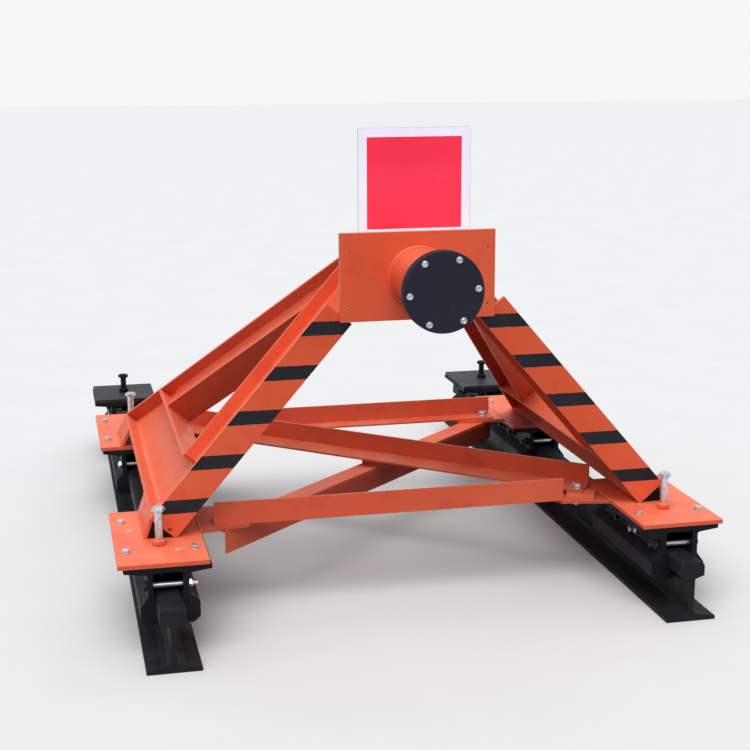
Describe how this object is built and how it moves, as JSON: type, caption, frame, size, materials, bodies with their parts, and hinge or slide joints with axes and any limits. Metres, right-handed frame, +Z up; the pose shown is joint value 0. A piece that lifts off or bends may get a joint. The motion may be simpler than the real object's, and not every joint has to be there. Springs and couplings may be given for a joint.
{
  "type": "railway buffer stop",
  "caption": "Friction buffer stop: two leaning A-shaped side frames of I-section steel clamped to a pair of rails, with a round buffer on a crash plate and a square stop board",
  "frame": {"origin": "midway between the two rails and midway along them, at the underside of the rail feet", "axes": "+Z up; -Y the way the buffer faces, towards an arriving train; +Y along the track to the closed end; +X to the right seen from the buffer side"},
  "size_m": [1.758, 2.424, 1.407],
  "materials": {
    "orange_paint": "satin orange-red paint, worn and dusty",
    "black_paint": "satin black paint",
    "grey_paint": "dusty dark grey paint",
    "rail_steel": "dull dark coated rail steel",
    "zinc": "dull zinc plating",
    "pad_rubber": "matt dark slate rubber",
    "red_board": "red reflective square with a pale border"
  },
  "bodies": {
    "track": {"brake_body_left": "black_paint", "brake_body_right": "black_paint", "brake_bolts": "black_paint", "brake_plate_left": "grey_paint", "brake_plate_right": "grey_paint", "brake_rods": "zinc", "rail_left": "rail_steel", "rail_right": "rail_steel"},
    "frame": {"base_plate_front_left": "orange_paint", "base_plate_front_right": "orange_paint", "base_plate_rear_left": "orange_paint", "base_plate_rear_right": "orange_paint", "board_spacer": "orange_paint", "board_straps": "orange_paint", "brace_front": "orange_paint", "brace_over": "orange_paint", "brace_packing": "orange_paint", "brace_rear": "orange_paint", "brace_under": "orange_paint", "buffer_pad": "pad_rubber", "buffer_tube": "orange_paint", "chord_left": "orange_paint", "chord_right": "orange_paint", "clamp_body_front_left": "black_paint", "clamp_body_front_right": "black_paint", "clamp_body_rear_left": "black_paint", "clamp_body_rear_right": "black_paint", "clamp_rods_left": "zinc", "clamp_rods_right": "zinc", "crash_plate": "orange_paint", "foot_plates_left": "orange_paint", "foot_plates_right": "orange_paint", "front_leg_left": "orange_paint", "front_leg_right": "orange_paint", "gussets_front": "orange_paint", "gussets_rear": "orange_paint", "head_tie_rear": "orange_paint", "head_tie_shelf": "orange_paint", "jack_bolts": "zinc", "jack_nuts": "orange_paint", "rear_leg_left": "orange_paint", "rear_leg_right": "orange_paint", "sign_board": "red_board", "wedge_plates": "black_paint"}
  },
  "joints": [
    {"name": "friction_slide", "type": "slide", "parent": "track", "child": "frame", "axis": [0, 1, 0], "range_m": [0, 0.17]}
  ]
}
